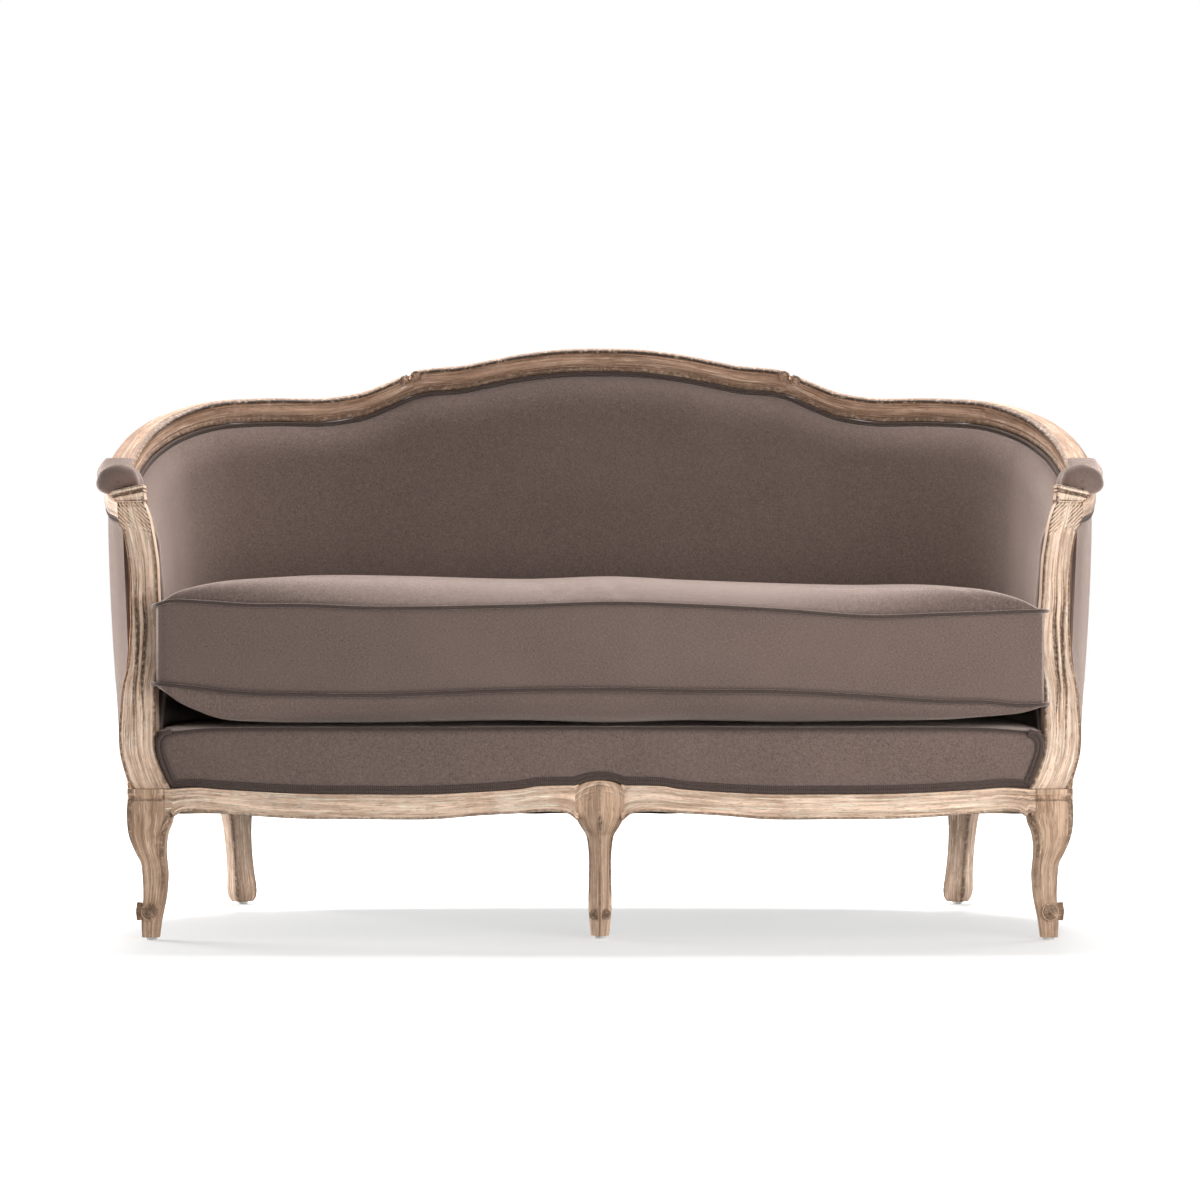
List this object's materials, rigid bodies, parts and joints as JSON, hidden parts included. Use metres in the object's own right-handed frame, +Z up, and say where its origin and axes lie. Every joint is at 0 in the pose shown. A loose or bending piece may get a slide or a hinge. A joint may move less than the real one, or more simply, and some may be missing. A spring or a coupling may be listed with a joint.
{
  "type": "settee",
  "caption": "Two-seat settee with a carved oak show-wood frame, barrel-shaped upholstered back, padded elbows and one loose box cushion.",
  "frame": {"origin": "on the floor, under the middle of the settee's bounding box", "axes": "+X along the seat, towards the right as one faces the settee; -Y out of the front; +Z up"},
  "size_m": [1.4946, 0.72, 0.878],
  "materials": {
    "oak": "weathered oak with a white lime wash left in the carving",
    "frame_wood": "plain sawn hardwood",
    "linen": "brown-mauve linen weave, matt",
    "dust_cloth": "thin black cambric",
    "steel": "oiled spring wire",
    "nylon": "off-white moulded nylon"
  },
  "bodies": {
    "frame": {"crest_rail_center": "oak", "crest_rail_left": "oak", "crest_rail_right": "oak", "arm_rail_left": "oak", "arm_rail_right": "oak", "arm_post_left": "oak", "arm_post_right": "oak", "front_leg_left": "oak", "front_leg_right": "oak", "front_leg_center": "oak", "rear_leg_left": "oak", "rear_leg_right": "oak", "front_rail_left": "oak", "front_rail_right": "oak", "side_rail_left": "oak", "side_rail_right": "oak", "rear_rail": "oak", "lower_back_rail": "frame_wood", "arm_lower_rail_left": "frame_wood", "arm_lower_rail_right": "frame_wood", "seat_stretcher": "frame_wood", "front_corner_block_left": "frame_wood", "front_corner_block_right": "frame_wood", "rear_corner_block_left": "frame_wood", "rear_corner_block_right": "frame_wood", "seat_deck": "linen", "deck_front_border": "linen", "deck_front_welt": "linen", "deck_side_welt_left": "linen", "deck_side_welt_right": "linen", "inside_back_pad": "linen", "inside_back_welt": "linen", "inside_arm_welt_left": "linen", "inside_arm_welt_right": "linen", "outside_back_panel": "linen", "outside_arm_panel_left": "linen", "outside_arm_panel_right": "linen", "outside_top_welt": "linen", "outside_foot_welt": "linen", "elbow_pad_left": "linen", "elbow_pad_right": "linen", "elbow_welt_left": "linen", "elbow_welt_right": "linen", "seat_spring_1": "steel", "seat_spring_2": "steel", "seat_spring_3": "steel", "seat_spring_4": "steel", "seat_spring_5": "steel", "seat_spring_6": "steel", "glide_front_left": "nylon", "glide_front_center": "nylon", "glide_front_right": "nylon", "glide_rear_left": "nylon", "glide_rear_right": "nylon", "dust_cover": "dust_cloth"},
    "cushion": {"seat_cushion": "linen", "cushion_piping_top": "linen", "cushion_piping_bottom": "linen", "cushion_zip": "linen"}
  },
  "joints": [
    {"name": "cushion_lift", "type": "slide", "parent": "frame", "child": "cushion", "axis": [0, 0, 1], "range_m": [0, 0.25]}
  ]
}
